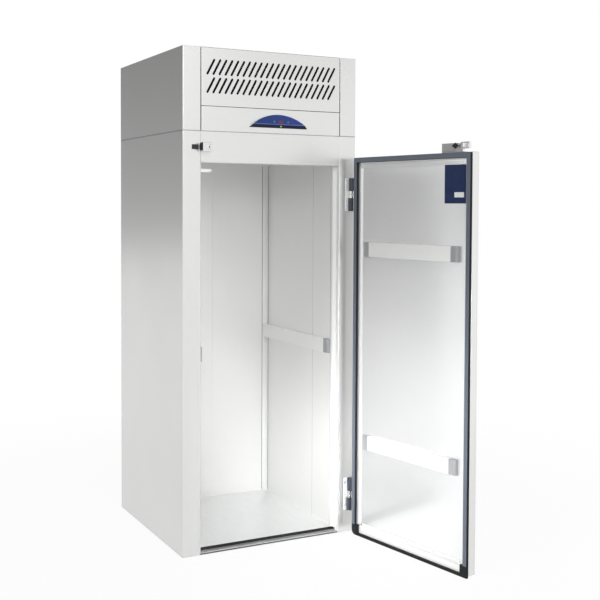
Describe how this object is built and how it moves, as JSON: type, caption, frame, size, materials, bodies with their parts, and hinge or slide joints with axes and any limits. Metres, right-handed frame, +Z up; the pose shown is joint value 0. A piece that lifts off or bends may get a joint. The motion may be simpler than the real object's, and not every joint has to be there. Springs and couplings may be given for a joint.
{
  "type": "roll-in freezer",
  "caption": "Roll-in freezer with a flush floor, an open full-height door on side hinges, bumper rails, a top latch and a louvred machine housing above.",
  "frame": {"origin": "centre of the cabinet's base on the floor, door not counted", "axes": "+X to the right seen from the front, +Y towards the back, +Z up; the door is hinged on the +X side and rests open by 99.5 degrees"},
  "size_m": [1.0103, 1.6398, 2.2],
  "materials": {
    "outer_steel": "fine satin grain",
    "inner_steel": "bright satin",
    "zinc_sheet": "dull galvanised",
    "foam": "rigid foam, matt",
    "foam_white": "rigid foam with a white skin",
    "floor_metal": "fine tread pattern",
    "black_plastic": "matt",
    "white_plastic": "smooth",
    "heater": "silicone tube",
    "rail_steel": "bright satin",
    "cap_grey": "smooth",
    "chrome": "polished",
    "hinge_dark": "semi-gloss",
    "bezel_blue": "glossy",
    "display_red": "smoked window",
    "lamp_green": "translucent",
    "compressor_black": "gloss enamel",
    "mount_rubber": "matt",
    "coil_metal": "fine fins",
    "motor_grey": "satin",
    "pipe_metal": "drawn tube",
    "fan_black": "satin",
    "button_blue": "glossy",
    "gasket_grey": "matt",
    "seal_black": "matt",
    "label_blue": "printed film, left bare",
    "latch_grey": "ribbed, satin"
  },
  "bodies": {
    "cabinet": {"side_skins": "outer_steel", "back_skin": "outer_steel", "header_skin": "outer_steel", "base_pan": "zinc_sheet", "roof_skin": "zinc_sheet", "wall_foam": "foam", "wall_liner": "inner_steel", "ceiling_liner": "inner_steel", "floor_plate": "floor_metal", "threshold_base": "black_plastic", "threshold_sill": "outer_steel", "opening_breaker": "white_plastic", "frame_heater": "heater", "corner_coves": "white_plastic", "rear_wall_channel": "inner_steel", "wall_bumper_rails": "rail_steel", "wall_bumper_caps": "cap_grey", "ceiling_grilles": "rail_steel", "keeper": "chrome", "hinge_frame_leaves": "hinge_dark", "hinge_pins": "chrome", "housing_sides": "outer_steel", "housing_back_panel": "zinc_sheet", "housing_top_panel": "outer_steel", "louvre_panel": "outer_steel", "control_fascia": "outer_steel", "controller_bezel": "bezel_blue", "controller_unit": "display_red", "indicator_lamp": "lamp_green", "condensing_tray": "zinc_sheet", "compressor": "compressor_black", "compressor_mounts": "mount_rubber", "condenser_coil": "coil_metal", "condenser_shroud": "zinc_sheet", "condenser_motor": "motor_grey", "evaporator_housing": "foam_white", "evaporator_coil": "coil_metal", "evaporator_motor": "motor_grey", "refrigerant_pipes": "pipe_metal", "cable_gland": "black_plastic"},
    "door": {"door_outer_skin": "outer_steel", "door_foam": "foam", "door_inner_panel": "inner_steel", "door_gasket": "gasket_grey", "door_bottom_seal": "seal_black", "door_kick_plate": "rail_steel", "kick_plate_screws": "chrome", "door_label": "label_blue", "door_bumper_rails": "rail_steel", "door_bumper_caps": "cap_grey", "hinge_door_leaves": "hinge_dark", "latch_case": "latch_grey", "latch_buffer": "black_plastic"},
    "claw": {"latch_claw": "chrome"},
    "handle": {"latch_handle": "chrome"},
    "lock": {"lock_barrel": "chrome"},
    "condenser_rotor": {"condenser_fan": "fan_black"},
    "evaporator_rotor": {"evaporator_fan": "fan_black"},
    "left_button": {"button_left": "button_blue"},
    "right_button": {"button_right": "button_blue"}
  },
  "joints": [
    {"name": "door_swing", "type": "hinge", "parent": "cabinet", "child": "door", "pos_m": [0.397, -0.4415, 0.87], "axis": [0, 0, 1], "range_deg": [-99.5, 60]},
    {"name": "claw_slide", "type": "slide", "parent": "door", "child": "claw", "axis": [-0.165, 0.9863, 0], "range_m": [0, 0.0085]},
    {"name": "handle_turn", "type": "hinge", "parent": "door", "child": "handle", "pos_m": [0.54125, -1.04902, 1.758], "axis": [-0.9863, -0.165, 0], "range_deg": [0, 35], "stiffness_Nm_per_rad": 1.5, "springref_deg": -17.19},
    {"name": "lock_turn", "type": "hinge", "parent": "door", "child": "lock", "pos_m": [0.53696, -1.02338, 1.696], "axis": [-0.9863, -0.165, 0], "range_deg": [0, 90]},
    {"name": "condenser_fan_spin", "type": "hinge", "parent": "cabinet", "child": "condenser_rotor", "pos_m": [0.13, -0.33, 2.066], "axis": [0, 1, 0], "continuous": true},
    {"name": "evaporator_fan_spin", "type": "hinge", "parent": "cabinet", "child": "evaporator_rotor", "pos_m": [0, 0.1015, 1.86], "axis": [0, 0, 1], "continuous": true},
    {"name": "left_button_push", "type": "slide", "parent": "cabinet", "child": "left_button", "axis": [0, 1, 0], "range_m": [0, 0.0008], "stiffness_N_per_m": 400, "springref_m": -0.001},
    {"name": "right_button_push", "type": "slide", "parent": "cabinet", "child": "right_button", "axis": [0, 1, 0], "range_m": [0, 0.0008], "stiffness_N_per_m": 400, "springref_m": -0.001}
  ],
  "couplings": [
    {"joint": "claw_slide", "follows": "handle_turn", "m_per_rad": 0.013783}
  ]
}
